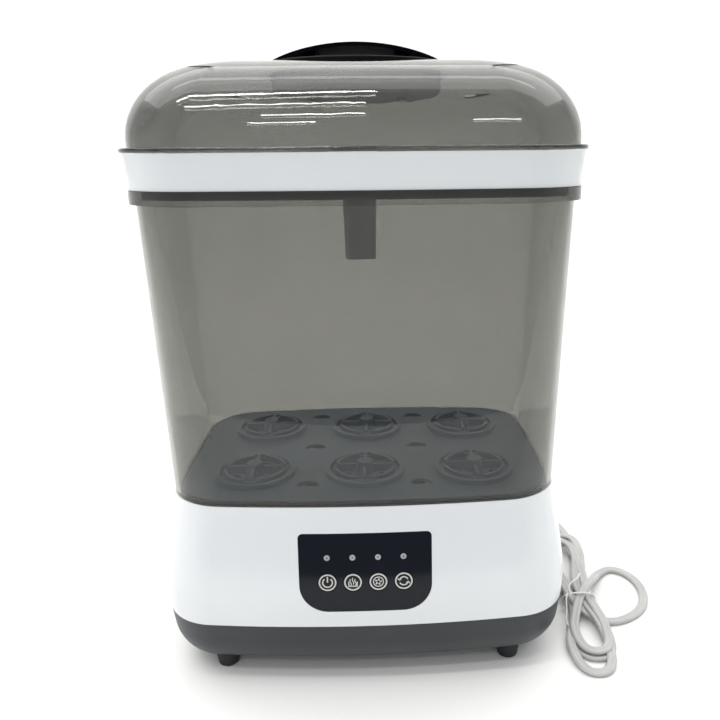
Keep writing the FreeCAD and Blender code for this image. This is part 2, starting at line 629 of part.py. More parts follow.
# ---- collar and accessory rack ------------------------------------------------------------------
COLLAR_WALL = 3.0
LEDGE_Z = 322.0
BASKET_FLOOR_Z = 312.8               # just above the tub's lip
WELL_HALF = (11.0, 8.0)              # finger well in the middle of the rack
WELL_FLOOR_Z = 264.0
TAB_TOP_Z = 334.2                    # top of the tabs that stand inside the lid's flange


def collar_ring():
    """White collar: sloping band on the tub's lip, a spigot into the tub and a ledge for the rack."""
    foot = RIM_TOP_Z + SEAT_GAP
    band = loft([(COLLAR_FOOT_OUTLINE, foot), (COLLAR_HEAD_OUTLINE, COLLAR_TOP_Z)])
    reach = [(COLLAR_FOOT_OUTLINE, foot - 0.01), (COLLAR_HEAD_OUTLINE, COLLAR_TOP_Z + 0.01)]
    cavity = loft(reach, COLLAR_WALL)
    spigot = slab(TUB_HEAD_OUTLINE, foot - 5.0, LEDGE_Z, TUB_WALL + FIT_GAP)
    spigot = spigot.cut(slab(TUB_HEAD_OUTLINE, foot - 6.0, LEDGE_Z + 1, TUB_WALL + FIT_GAP + 2.2))
    web = slab(COLLAR_FOOT_OUTLINE, LEDGE_Z - 2.2, LEDGE_Z, COLLAR_WALL - 1.0)
    web = web.cut(slab(TUB_HEAD_OUTLINE, LEDGE_Z - 5, LEDGE_Z + 1, TUB_WALL + FIT_GAP + 2.2))
    sill = slab(COLLAR_FOOT_OUTLINE, foot, foot + 2.2, 0.6)
    sill = sill.cut(slab(TUB_HEAD_OUTLINE, foot - 1, foot + 5, TUB_WALL + FIT_GAP + 1.0))
    return fused([band.cut(cavity), spigot, web, sill])


def accessory_tray():
    """Slotted basket on the collar's ledge: finger well in the middle, four tabs that centre the lid."""
    rest = LEDGE_Z + 0.1
    hang = TUB_WALL + FIT_GAP + 2.2 + 0.6
    flange = slab(COLLAR_FOOT_OUTLINE, rest, rest + 1.8, COLLAR_WALL + 0.6)
    wall = slab(TUB_HEAD_OUTLINE, BASKET_FLOOR_Z, rest + 1.8, hang)
    hollow = slab(TUB_HEAD_OUTLINE, BASKET_FLOOR_Z + 2.0, rest + 5, hang + 1.8)
    w, d = WELL_HALF
    outer = well_prism(w, d, WELL_FLOOR_Z, BASKET_FLOOR_Z + 1)
    inner = well_prism(w - 1.8, d - 1.8, WELL_FLOOR_Z + 1.8, BASKET_FLOOR_Z + 3)
    basket = fused([flange, wall]).cut(hollow)
    reach, depth = (half - WALL - 0.5 for half in DOME_OUTLINE[:2])
    tabs = []
    for s in (-1, 1):
        x0, x1 = sorted((s * (reach - 1.8), s * reach))
        y0, y1 = sorted((s * (depth - 1.8), s * depth))
        tabs.append(box((x0, -12, rest + 1), (x1, 12, TAB_TOP_Z)))
        tabs.append(box((-12, y0, rest + 1), (12, y1, TAB_TOP_Z)))
    basket = fused([basket, outer] + tabs).cut(inner)
    slots = []
    for i in range(-9, 10):
        x = i * 11.6
        for side in (-1, 1):
            for low, high in ((14.0, 38.0), (44.0, 68.0)):
                y0, y1 = sorted((side * low, side * high))
                slots.append(box((x - 2.2, y0, BASKET_FLOOR_Z - 1), (x + 2.2, y1, BASKET_FLOOR_Z + 4)))
    return basket.cut(Part.makeCompound(slots))


def well_prism(half_w, half_d, low, high):
    """A finger well: a tapered box with round upright edges, narrower at its floor."""
    def ring(w, d, z):
        r = 4.0
        plate = Part.makePlane(2 * w, 2 * d, V(-w, -d, z))
        return plate.makeOffset2D(-r, 0, False, False).makeOffset2D(r, 0, False, False).OuterWire
    return Part.makeLoft([ring(half_w - 1.0, half_d - 1.0, low), ring(half_w, half_d, high)], True, True)


# ---- lid and handle -----------------------------------------------------------------------------
CUP_HALF = (55.6, 45.0)              # handle cup's flange, an ellipse
CUP_FLOOR_Z = 366.0
CUP_RIM_Z = 383.2
GRIP_HALF = (54.6, 24.0)             # plan of the grip, an ellipse
GRIP_THICK = 2.2
GRIP_POST = (27.5, 4.0, 17.0)        # middle, half width and half depth of each post
SLOT_CENTRE = (66.0, 36.0)           # centre of each corner slot's arc, mirrored to four
SLOT_R = 29.0
SLOT_TURN = 51.0                     # middle of the arc, degrees from the X axis


def dome_sections():
    """Outlines up the lid's wall, round its elliptical shoulder and over its shallow crown."""
    half_w, half_d, corner = DOME_OUTLINE
    turn = math.radians(SHOULDER_TURN)
    rises = [(0.0, FLANGE_TOP_Z - 1.0)]
    for i in range(8):
        angle = turn * i / 7
        rises.append((SHOULDER_IN * (1 - math.cos(angle)), SHOULDER_Z + SHOULDER_UP * math.sin(angle)))
    edge_in, edge_z = rises[-1]
    for share in (0.33, 0.66, 1.0):
        rise = (CROWN_Z - edge_z) * (1 - (1 - share) ** 2)
        rises.append((edge_in + share * (CROWN_IN - edge_in), edge_z + rise))
    return [((half_w - step, half_d - step, corner - 0.5 * step), z) for step, z in rises]


def dome(inset):
    """The lid's filled dome, taken in by inset and lowered by the same amount."""
    wires = []
    for i, (size, z) in enumerate(dome_sections()):
        drop = 0.0 if i == 0 else inset * min(1.0, max(0.0, (z - SHOULDER_Z) / SHOULDER_UP))
        wires.append(outline(size, z - drop, inset))
    return Part.makeLoft(wires, True, False)


def ellipse_slab(half_w, half_d, low, high):
    """An elliptical disc between two heights."""
    edge = Part.Ellipse(V(0, 0, low), half_w, half_d).toShape()
    return Part.Face(Part.Wire(edge)).extrude(V(0, 0, high - low))


def steam_slot(x, y):
    """A curved slot down through the lid near one corner, following the corner round."""
    ring = tube((x, y, 350), Z_UP, SLOT_R + 1.1, SLOT_R - 1.1, 50)
    half = SLOT_R * math.sin(math.radians(20.0))
    cutter = Part.makeBox(60, 2 * half, 60, V(10, -half, 345))
    turn = SLOT_TURN if x > 0 else 180.0 - SLOT_TURN
    cutter.rotate(V(0, 0, 0), Z_UP, turn if y > 0 else -turn)
    cutter.translate(V(x, y, 0))
    return ring.common(cutter)


def lid_shell():
    """Smoked dome with a flange on the collar, four steam slots and the handle's opening."""
    outer = dome(0.0)
    inner = dome(WALL)
    low = COLLAR_TOP_Z + SEAT_GAP
    flange = slab(FLANGE_OUTLINE, low, FLANGE_TOP_Z)
    edges = [e for e in flange.Edges if abs(e.BoundBox.ZMax - e.BoundBox.ZMin) < 1e-6]
    flange = flange.makeFillet(1.2, edges)
    core = slab(DOME_OUTLINE, low - 1.0, FLANGE_TOP_Z + 1.0, WALL)
    lid = fused([outer.cut(inner), flange.cut(core)]).cut(inner)
    lid = lid.cut(ellipse_slab(CUP_HALF[0] - 3.0, CUP_HALF[1] - 3.0, 360, 400))
    for x, y in mirrored([SLOT_CENTRE]):
        lid = lid.cut(steam_slot(x, y))
    return lid


def cup_hollow(inset):
    """The room inside the handle's cup, taken in by inset."""
    half_w, half_d = CUP_HALF[0] - 5.2 - inset, CUP_HALF[1] - 5.2 - inset
    room = ellipse_slab(half_w, half_d, CUP_FLOOR_Z + 1.8, CUP_RIM_Z + 15)
    return room.makeFillet(4.5, [e for e in room.Edges if e.BoundBox.ZMax < CUP_FLOOR_Z + 2])


def handle_cup():
    """Black finger cup: an elliptical flange that follows the crown, walls down through it, and a floor."""
    flange = ellipse_slab(*CUP_HALF, CROWN_Z - 4.0, CUP_RIM_Z)
    flange = flange.makeFillet(1.0, [e for e in flange.Edges if e.BoundBox.ZMin > CUP_RIM_Z - 0.1])
    wall = ellipse_slab(CUP_HALF[0] - 3.4, CUP_HALF[1] - 3.4, CUP_FLOOR_Z, CROWN_Z + 0.5)
    wall = wall.makeFillet(6.0, [e for e in wall.Edges if e.BoundBox.ZMax < CUP_FLOOR_Z + 0.1])
    cup = fused([flange.cut(dome(0.0)), wall]).cut(cup_hollow(0.0))
    for s in (-1, 1):
        cup = cup.cut(rod((s * GRIP_POST[0], 0, CUP_FLOOR_Z - 1), Z_UP, 1.9, 12))
    return cup


def handle_grip():
    """Arched grip, leaf-shaped in plan: its ends rest on the cup's flange, its posts on the floor."""
    half, depth = GRIP_HALF
    foot = half - 7.5

    def arch(reach, crest):
        ends = [V(side * reach, -depth, CUP_RIM_Z) for side in (-1, 1)]
        return Part.Arc(ends[0], V(0, -depth, crest), ends[1]).toShape()

    def level(start, end):
        return Part.LineSegment(V(start, -depth, CUP_RIM_Z), V(end, -depth, CUP_RIM_Z)).toShape()

    upper = arch(half, HANDLE_TOP_Z)
    lower = arch(foot, HANDLE_TOP_Z - GRIP_THICK)
    ends = [level(s * half, s * foot) for s in (-1, 1)]
    wire = Part.Wire(Part.__sortEdges__([upper, lower] + ends))
    band = Part.Face(wire).extrude(V(0, 2 * depth, 0)).common(ellipse_slab(half, depth, 380, 400))
    middle, wide, deep = GRIP_POST
    low = CUP_FLOOR_Z + 1.8
    posts = [box((s * middle - wide, -deep, low), (s * middle + wide, deep, CUP_RIM_Z + 6)) for s in (-1, 1)]
    under = Part.Face(Part.Wire([lower, level(foot, -foot)])).extrude(V(0, 2 * depth, 0))
    room = fused([under, box((-half, -depth, low - 1), (half, depth, CUP_RIM_Z))])
    posts = [p.common(room).common(cup_hollow(0.05)) for p in posts]
    holes = [rod((s * middle, 0, low - 1), Z_UP, 1.35, 13) for s in (-1, 1)]
    return fused([band] + posts).cut(Part.makeCompound(holes))


def handle_screws():
    """Two screws up through the cup's floor into the grip's posts."""
    screws = []
    for s in (-1, 1):
        x = s * GRIP_POST[0]
        head = rod((x, 0, CUP_FLOOR_Z - 2.2), Z_UP, 3.4, 2.2)
        shaft = rod((x, 0, CUP_FLOOR_Z - 0.5), Z_UP, 1.3, 13.0)
        slot = box((x - 2.2, -0.4, CUP_FLOOR_Z - 2.3), (x + 2.2, 0.4, CUP_FLOOR_Z - 1.4))
        screws.append(fused([head, shaft]).cut(slot))
    return Part.makeCompound(screws)


# ---- mains cord ---------------------------------------------------------------------------------
CORD_D = 7.0
GLAND_OUT_Y = 118.0
LEAD_ROUTE = [(72, 118, 30), (72, 138, 30), (77, 158, 20), (90, 171, 8), (112, 172, 3.5),
              (138, 161, 3.5), (160, 140, 3.5), (174, 112, 3.5), (180, 82, 3.5), (176, 56, 3.5)]
TAIL_ROUTE = [(168, 56, 3.5), (160, 84, 3.5), (146, 108, 3.5), (124, 124, 4.0), (98, 131, 9.0),
              (74, 131, 9.0)]
HANK_HIGH = 15.0
LOOP_HIGH = 9.0
TIE_AT = (157.0, -25.0)
PLUG_AT = (74.0, 131.0, 9.0)


def cord_gland():
    """Strain relief: a grooved collar in the pan's wall and a tapered sleeve round the cord."""
    along = V(0, 1, 0)
    collar = rod((GLAND_X, 81.0, GLAND_Z), along, GLAND_R - 0.1, 14.0)
    inner = rod((GLAND_X, 79.5, GLAND_Z), along, GLAND_R + 1.6, 2.6)
    outer = rod((GLAND_X, 92.2, GLAND_Z), along, GLAND_R + 1.4, 2.6)
    sleeve = Part.makeCone(5.6, 4.3, GLAND_OUT_Y - 94.0, V(GLAND_X, 94.0, GLAND_Z), along)
    body = fused([collar, inner, outer, sleeve])
    for i in range(4):
        body = body.cut(tube((GLAND_X, 99.0 + i * 4.4, GLAND_Z), along, 8.0, 4.2, 1.5))
    return body


def smooth_path(points):
    """Straight runs joined by tangent arcs, each as large as its runs allow: the wire and the radii."""
    stops = [V(*p) for p in points]
    edges, radii, at = [], [], stops[0]
    for before, corner, after in zip(stops, stops[1:], stops[2:]):
        run = min((corner - before).Length, (after - corner).Length)
        way_in = (corner - before).normalize()
        way_out = (after - corner).normalize()
        turn = way_in.getAngle(way_out)
        cut = 0.45 * run
        radii.append(cut / math.tan(turn / 2))
        start, end = corner - way_in * cut, corner + way_out * cut
        inward = (way_out - way_in).normalize()
        middle = corner + inward * (radii[-1] / math.cos(turn / 2) - radii[-1])
        edges.append(Part.LineSegment(at, start).toShape())
        edges.append(Part.Arc(start, middle, end).toShape())
        at = end
    edges.append(Part.LineSegment(at, stops[-1]).toShape())
    return Part.Wire(edges), radii


def cord_tube(name, points):
    """A round tube along a smooth path, with its radii and volume reported."""
    path, radii = smooth_path(points)
    start = V(*points[0])
    heading = V(*points[1]) - start
    section = Part.Wire(Part.Circle(start, heading, CORD_D / 2).toShape())
    solid = path.makePipeShell([section], True, False)
    expected = math.pi * CORD_D ** 2 / 4 * path.Length
    print(name, "length", round(path.Length, 1), "radii", [round(r) for r in radii],
          "volume share", round(solid.Volume / expected, 4))
    return solid


def capsule(start, end, radius, high):
    """An upright slab with round ends between two points on the floor."""
    a, b = V(*start, 0), V(*end, 0)
    side = (b - a).normalize().cross(Z_UP) * radius
    along = (b - a).normalize() * radius
    edges = [Part.LineSegment(a + side, b + side), Part.Arc(b + side, b + along, b - side),
             Part.LineSegment(b - side, a - side), Part.Arc(a - side, a - along, a + side)]
    return Part.Face(Part.Wire([e.toShape() for e in edges])).extrude(V(0, 0, high))


def tie_block(grow, length):
    """The block that the tie wraps, across the hank's waist."""
    x, y = TIE_AT
    return box((x - 13 - grow, y - length / 2, 0.2), (x + 13 + grow, y + length / 2, HANK_HIGH + grow))


def cord_hank():
    """Outer shape of the tied hank: a front lobe, a rear lobe and one loop that has sprung out sideways."""
    front = capsule((157, -20), (157, -80), 17.0, HANK_HIGH)
    rear = capsule((157, -30), (172, 62), 16.0, HANK_HIGH)
    loop = capsule((170, -20), (196, 10), 25.0, LOOP_HIGH)
    return fused([front, rear, loop]).cut(tie_block(3.0, 3.0).cut(tie_block(0.0, 3.1)))


def cord_tie():
    """Twisted wire tie round the hank's waist, with its two ends twisted together on top."""
    band = tie_block(1.2, 2.6).cut(tie_block(0.0, 3.0))
    x, y = TIE_AT
    twist = rod((x - 3, y, HANK_HIGH + 0.8), V(-0.75, 0.25, 0.6), 1.1, 16.0)
    return fused([band, twist])


def plug_body():
    """Moulded two-blade plug with a waist to hold and a short cord guard."""
    x, y, z = PLUG_AT
    body = box((x - 36, y - 12, z - 8.8), (x - 12, y + 12, z + 8.2))
    body = body.makeFillet(4.0, body.Edges)
    guard = Part.makeCone(6.0, 4.2, 14.0, V(x - 14, y, z), V(1, 0, 0))
    return fused([body, guard])


def plug_blades():
    """Two flat blades."""
    x, y, z = PLUG_AT
    middles = [y + s * 6.35 for s in (-1, 1)]
    blades = [box((x - 53, m - 0.75, z - 3.2), (x - 36, m + 0.75, z + 3.2)) for m in middles]
    return Part.makeCompound(blades)


def build():
    """Makes every sub-part."""
    keep("base_shell", base_shell())
    keep("inner_deck", inner_deck())
    keep("base_pan", base_pan())
    keep("rubber_feet", rubber_feet())
    keep("pan_screws", pan_screws())
    keep("control_panel", control_panel())
    for name, x in zip(BUTTON_NAMES, BUTTON_X):
        keep(name, button(x))
    keep("indicator_lenses", indicator_lenses())
    keep("control_board", control_board())
    keep("tact_switches", tact_switches())
    keep("indicator_leds", indicator_leds())
    keep("board_screws", board_screws())
    keep("power_board", power_board())
    keep("board_posts", board_posts())
    keep("heating_plate", heating_plate())
    keep("plate_seal", plate_seal())
    keep("heating_element", heating_element())
    keep("thermostat", thermostat())
    keep("thermostat_bracket", thermostat_bracket())
    keep("fan_housing", fan_housing())
    keep("fan_impeller", fan_impeller())
    keep("fan_motor", fan_motor())
    keep("air_duct", air_duct())
    keep("air_heater", air_heater())
    keep("outlet_grille", outlet_grille())
    keep("filter_door", filter_door())
    keep("air_filter", air_filter())
    keep("tub", tub())
    keep("bottle_tray", bottle_tray())
    keep("collar_ring", collar_ring())
    keep("accessory_tray", accessory_tray())
    keep("lid_shell", lid_shell())
    keep("handle_cup", handle_cup())
    keep("handle_grip", handle_grip())
    keep("handle_screws", handle_screws())
    keep("cord_gland", cord_gland())
    keep("cord_lead", cord_tube("cord_lead", LEAD_ROUTE))
    keep("cord_hank", cord_hank())
    keep("cord_tie", cord_tie())
    keep("cord_tail", cord_tube("cord_tail", TAIL_ROUTE))
    keep("plug_body", plug_body())
    keep("plug_blades", plug_blades())


build()
os.makedirs("parts", exist_ok=True)
for name, shape in PARTS.items():
    solids = shape.Solids
    if not solids or not all(s.isValid() for s in solids):
        print("CHECK", name, "solids", len(solids), "valid", shape.isValid())
    shape.exportStep(f"parts/{name}.step")
print(len(PARTS), "sub-parts")
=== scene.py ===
"""Bottle sterilizer and dryer, finished for show: plastics, metals, printed marks and the mains cord."""
import json
import math

import bpy
import numpy as np
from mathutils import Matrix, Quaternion, Vector


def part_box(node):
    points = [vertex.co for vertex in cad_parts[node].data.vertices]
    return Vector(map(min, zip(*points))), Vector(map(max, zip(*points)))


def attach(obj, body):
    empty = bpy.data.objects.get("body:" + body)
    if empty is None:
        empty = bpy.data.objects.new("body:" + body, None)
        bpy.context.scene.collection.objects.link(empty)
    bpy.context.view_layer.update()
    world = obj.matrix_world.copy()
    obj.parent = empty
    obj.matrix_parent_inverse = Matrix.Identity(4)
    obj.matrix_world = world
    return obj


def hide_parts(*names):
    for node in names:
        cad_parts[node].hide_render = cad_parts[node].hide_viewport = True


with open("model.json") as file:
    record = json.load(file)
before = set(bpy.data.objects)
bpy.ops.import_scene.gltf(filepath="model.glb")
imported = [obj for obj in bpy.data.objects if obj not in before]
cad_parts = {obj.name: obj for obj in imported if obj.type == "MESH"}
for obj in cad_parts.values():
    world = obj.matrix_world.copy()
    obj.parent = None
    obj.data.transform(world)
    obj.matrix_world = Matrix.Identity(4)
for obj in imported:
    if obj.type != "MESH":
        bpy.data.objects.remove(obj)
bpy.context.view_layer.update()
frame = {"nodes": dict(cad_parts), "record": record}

scene = bpy.context.scene
node = frame["nodes"]
body_of_node = {n: body for body, names in frame["record"]["behaviour"]["bodies"].items() for n in names}
UP = np.array([0.0, 0.0, 1.0])

# ---- camera -------------------------------------------------------------------------------------
# A hand-held view from just above the collar's height, close in front, with the horizon a touch off
# level.
EYE = Vector((0.0120, -0.4788, 0.3308))
LOOK_RIGHT = math.radians(1.78)
LOOK_DOWN = math.radians(17.37)
TILT = math.radians(0.527)
eye = bpy.data.cameras.new("view")
eye.lens, eye.sensor_width = 35.65, 36.0
eye.shift_x, eye.shift_y = -0.0589, 0.0218
eye.clip_start, eye.clip_end = 0.02, 60.0
camera = bpy.data.objects.new("view", eye)
scene.collection.objects.link(camera)
ahead = Vector((math.sin(LOOK_RIGHT) * math.cos(LOOK_DOWN), math.cos(LOOK_RIGHT) * math.cos(LOOK_DOWN),
                -math.sin(LOOK_DOWN)))
camera.location = EYE
camera.rotation_mode = "QUATERNION"
camera.rotation_quaternion = Quaternion(ahead, TILT) @ ahead.to_track_quat("-Z", "Y")
scene.camera = camera


# ---- mains cord ---------------------------------------------------------------------------------
# Flat twin cord, two cores side by side in one soft sheath. It leaves the back through a strain relief,
# comes round the right side into a tied hank with one loop sprung out of it, and ends behind the base in
# its plug.
def lengthwise(points):
    """Unit tangents of a line of points: the difference of each point's two neighbours, made unit
    length."""
    along = np.gradient(points, axis=0)
    return along / np.linalg.norm(along, axis=1, keepdims=True)


def swept(points, profile, up=UP):
    """Rings of a profile carried along a line: at each point, across times the side plus height times the
    lift, where the side is tangent cross up and the lift is side cross tangent."""
    tangent = lengthwise(points)
    side = np.cross(tangent, up)
    side /= np.linalg.norm(side, axis=1, keepdims=True)
    lift = np.cross(side, tangent)
    return points[:, None] + profile[None, :, :1] * side[:, None] + profile[None, :, 1:] * lift[:, None]


def skin(name, grids, closed=True, smooth=True):
    """One mesh over several grids of points: row i joins row i + 1 and column j joins j + 1. Closed grids
    also join their last column to their first, get an end cap on each side, and are turned so faces point
    outwards."""
    points, faces, base = [], [], 0
    for grid in grids:
        rows, cols = grid.shape[:2]
        index = base + np.arange(rows * cols).reshape(rows, cols)
        after = np.roll(index, -1, axis=1)
        if not closed:
            index, after = index[:, :-1], after[:, :-1]
        quads = np.stack([index[:-1], after[:-1], after[1:], index[1:]], axis=-1).reshape(-1, 4)
        flat = grid.reshape(-1, 3)
        here = quads.tolist()
        if closed:
            here += [index[0, ::-1].tolist(), index[-1].tolist()]
            a, b, c, d = (flat[quads[:, k] - base] for k in range(4))
            middle = flat.mean(axis=0)
            volume = ((a - middle) * np.cross(b - middle, c - middle)).sum()
            volume += ((a - middle) * np.cross(c - middle, d - middle)).sum()
            if volume < 0:
                here = [face[::-1] for face in here]
        points.append(flat)
        faces += here
        base += rows * cols
    mesh = bpy.data.meshes.new(name)
    mesh.from_pydata(np.concatenate(points).tolist(), [], faces)
    mesh.polygons.foreach_set("use_smooth", np.full(len(mesh.polygons), smooth))
    mesh.update()
    piece = bpy.data.objects.new(name, mesh)
    scene.collection.objects.link(piece)
    return piece


def route(name, points):
    """The smooth line that a route's points control, as a NURBS spline of order 3 gives it."""
    curve = bpy.data.curves.new(name, "CURVE")
    curve.dimensions = "3D"
    spline = curve.splines.new("NURBS")
    spline.points.add(len(points) - 1)
    spline.points.foreach_set("co", np.column_stack([points, np.ones(len(points))]).ravel())
    spline.order_u = 3
    spline.use_endpoint_u = True
    spline.resolution_u = 10
    holder = bpy.data.objects.new(name, curve)
    line = bpy.data.meshes.new_from_object(holder)
    found = np.zeros(len(line.vertices) * 3)
    line.vertices.foreach_get("co", found)
    bpy.data.objects.remove(holder)
    bpy.data.meshes.remove(line)
    bpy.data.curves.remove(curve)
    return found.reshape(-1, 3)


CORD_WIDE = 0.0066
CORD_THICK = 0.0035
GROOVE_WIDE = 0.0007
GROOVE_DEEP = 0.52
LEAD = [
    (0.072, 0.118, 0.030), (0.072, 0.138, 0.030), (0.077, 0.158, 0.020), (0.090, 0.171, 0.008),
    (0.112, 0.172, 0.002), (0.138, 0.161, 0.002), (0.160, 0.140, 0.002), (0.171, 0.106, 0.002),
    (0.176, 0.078, 0.002), (0.174, 0.052, 0.002), (0.169, 0.026, 0.002), (0.161, 0.000, 0.002),
]
FIRST_TURN = [
    (0.153, -0.024, 0.002), (0.147, -0.042, 0.002), (0.143, -0.056, 0.002), (0.147, -0.078, 0.002),
    (0.166, -0.078, 0.002), (0.171, -0.054, 0.003), (0.167, -0.038, 0.004), (0.163, -0.024, 0.0055),
    (0.166, 0.002, 0.006), (0.172, 0.026, 0.006), (0.178, 0.050, 0.006), (0.178, 0.077, 0.006),
    (0.153, 0.077, 0.006), (0.152, 0.050, 0.006), (0.152, 0.024, 0.006), (0.154, 0.000, 0.006),
]
SECOND_TURN = [
    (0.153, -0.024, 0.006), (0.149, -0.044, 0.006), (0.139, -0.064, 0.0045), (0.143, -0.0925, 0.002),
    (0.162, -0.0925, 0.002), (0.167, -0.066, 0.005), (0.166, -0.046, 0.008), (0.160, -0.024, 0.0095),
    (0.160, 0.000, 0.0095), (0.166, 0.022, 0.0095), (0.171, 0.038, 0.0095), (0.170, 0.062, 0.0095),
    (0.146, 0.062, 0.0095), (0.147, 0.036, 0.0095), (0.147, 0.018, 0.0095), (0.150, 0.000, 0.0095),
]
SPRUNG_LOOP = [
    (0.152, -0.022, 0.0095), (0.160, -0.036, 0.0065), (0.174, -0.041, 0.002), (0.191, -0.037, 0.002),
    (0.207, -0.023, 0.002), (0.214, -0.002, 0.002), (0.211, 0.018, 0.002), (0.198, 0.030, 0.002),
    (0.184, 0.020, 0.003), (0.175, 0.002, 0.010), (0.166, -0.010, 0.013),
]
THIRD_TURN = [
    (0.157, -0.024, 0.013), (0.150, -0.040, 0.0095), (0.145, -0.054, 0.0065), (0.148, -0.0755, 0.0055),
    (0.165, -0.0755, 0.0055), (0.169, -0.052, 0.008), (0.166, -0.034, 0.0105), (0.164, -0.020, 0.0115),
    (0.168, 0.006, 0.010), (0.171, 0.034, 0.0095),
]
TAIL = [
    (0.168, 0.060, 0.006), (0.160, 0.084, 0.002), (0.146, 0.108, 0.002), (0.124, 0.124, 0.003),
    (0.098, 0.131, 0.009), (0.074, 0.131, 0.009),
]
cord_line = route("cord_line", np.array(LEAD + FIRST_TURN + SECOND_TURN + SPRUNG_LOOP + THIRD_TURN + TAIL))
round_it = np.linspace(0, 2 * np.pi, 28, endpoint=False)


def squared(wave, power):
    """A sine or cosine wave made squarer: its size raised to a power below one, with its sign kept."""
    return np.sign(wave) * np.abs(wave) ** power


across = CORD_WIDE / 2 * squared(np.cos(round_it), 0.8)
groove = 1 - GROOVE_DEEP * np.exp(-(across / GROOVE_WIDE) ** 2)
twin = np.column_stack([across, CORD_THICK / 2 * squared(np.sin(round_it), 0.8) * groove])
mains_cord = skin("mains_cord", [swept(cord_line, twin)])

# Twist tie: a paper-thin coated wire, once round the hank's waist, its two ends left loose.
TIE_WIDE = 0.0014
TIE_THICK = 0.0007
TIE_MIDDLE = (0.1565, 0.0080)
TIE_REACH = (0.0125, 0.0076)
TIE_POINTS = 60
waist_low, waist_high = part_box("cord_tie")
tie_y = 0.5 * (waist_low.y + waist_high.y)
tie_turn = np.linspace(0, 2 * np.pi, TIE_POINTS, endpoint=False)
hoop = np.column_stack([TIE_MIDDLE[0] + TIE_REACH[0] * squared(np.cos(tie_turn), 0.6),
                        np.full(TIE_POINTS, tie_y),
                        TIE_MIDDLE[1] + TIE_REACH[1] * squared(np.sin(tie_turn), 0.7)])
hoop = np.concatenate([hoop, hoop[:3]])
band = np.array([(-1, -1), (1, -1), (1, 1), (-1, 1)]) * (TIE_WIDE / 2, TIE_THICK / 2)
hoop_side = np.array([0.0, 1.0, 0.0])
hoop_out = np.cross(hoop_side, lengthwise(hoop))
hoop_grid = hoop[:, None] + band[None, :, :1] * hoop_side + band[None, :, 1:] * hoop_out[:, None]
loose_ends = [route("tie_end", np.array(points)) for points in (
    [(0.1500, -0.0250, 0.0152), (0.1470, -0.0260, 0.0175), (0.1450, -0.0310, 0.0170),
     (0.1440, -0.0380, 0.0120), (0.1420, -0.0450, 0.0060), (0.1450, -0.0530, 0.0030)],
    [(0.1505, -0.0245, 0.0152), (0.1490, -0.0200, 0.0180), (0.1530, -0.0140, 0.0190),
     (0.1600, -0.0080, 0.0180), (0.1640, 0.0020, 0.0160)])]
cord_tie = skin("twist_tie", [hoop_grid] + [swept(end, band * 0.8) for end in loose_ends], smooth=False)


# ---- cord finishes ------------------------------------------------------------------------------
# The sheath, strain relief and plug are soft grey PVC, the tie is a white coated wire, and the plug's
# blades are nickel-plated. A finish is one Principled shader whose tone, roughness and relief come from
# fine noise.
class Wire:
    """One output of a shader node. Sums, differences and products of it add Math nodes."""

    def __init__(self, mix, socket):
        self.mix, self.socket = mix, socket

    def calc(self, kind, first, second):
        return self.mix.add("ShaderNodeMath", {"operation": kind}, {0: first, 1: second})

    def __add__(self, other):
        return self.calc("ADD", self, other)

    def __sub__(self, other):
        return self.calc("SUBTRACT", self, other)

    def __rsub__(self, other):
        return self.calc("SUBTRACT", other, self)

    def __mul__(self, other):
        return self.calc("MULTIPLY", self, other)

    __radd__ = __add__
    __rmul__ = __mul__


class Finish:
    """A material being mixed: its Principled shader holds the constants, and add() makes every other
    node."""

    def __init__(self, name, **constants):
        self.material = bpy.data.materials.new(name)
        self.material.use_nodes = True
        self.tree = self.material.node_tree
        self.shader = self.tree.nodes["Principled BSDF"]
        for socket, value in constants.items():
            self.shader.inputs[socket.replace("_", " ")].default_value = value
        self.place = self.add("ShaderNodeTexCoord", output="Object")

    def join(self, value, socket):
        if isinstance(value, Wire):
            self.tree.links.new(value.socket, socket)
        else:
            socket.default_value = value

    def add(self, kind, settings=None, inputs=None, output=0):
        """A node of that type: settings first, a ramp's stops among them, then the sockets' values or
        links."""
        made = self.tree.nodes.new(kind)
        for key, value in (settings or {}).items():
            if key == "stops":
                ramp = made.color_ramp
                while len(ramp.elements) < len(value):
                    ramp.elements.new(0.5)
                for element, (at, colour) in zip(ramp.elements, value):
                    element.position, element.color = at, colour
            else:
                setattr(made, key, value)
        for key, value in (inputs or {}).items():
            self.join(value, made.inputs[key])
        return Wire(self, made.outputs[output])

    def noise(self, size, detail=3.0, where=None):
        """Noise from 0 to 1 whose blotches are about that many metres wide."""
        sockets = {"Scale": 1.0 / size, "Detail": detail, "Vector": where or self.place}
        return self.add("ShaderNodeTexNoise", inputs=sockets, output="Fac")

    def tone(self, amount, colour, spread):
        """The colour, darker where amount is low and lighter where it is high, by that spread."""
        low = [c * (1 - spread) for c in colour] + [1.0]
        high = [min(1.0, c * (1 + spread)) for c in colour] + [1.0]
        return self.add("ShaderNodeValToRGB", {"stops": [(0.3, low), (0.7, high)]}, {"Fac": amount})

    def bump(self, height, depth, strength=1.0):
        return self.add("ShaderNodeBump", inputs={"Height": height, "Distance": depth, "Strength": strength})

    def feed(self, **sockets):
        for socket, value in sockets.items():
            self.join(value, self.shader.inputs[socket.replace("_", " ")])
        return self.material


def moulded(name, colour, rough, tint=0.02, grain=0.0006, relief=0.00001, ripple=0.03, smear=0.04,
            **constants):
    """Injection-moulded plastic: an even colour with a faint flow tone, a fine texture and a slow surface
    ripple."""
    mix = Finish(name, **constants)
    slow = mix.noise(ripple, 2.0)
    fine = mix.noise(grain, 2.0)
    height = mix.add("ShaderNodeMath", {"operation": "MULTIPLY_ADD"}, {0: slow, 1: 2.0, 2: fine})
    return mix.feed(Base_Color=mix.tone(slow, colour, tint),
                    Roughness=slow * smear + fine * smear + (rough - smear),
                    Normal=mix.bump(height, relief))


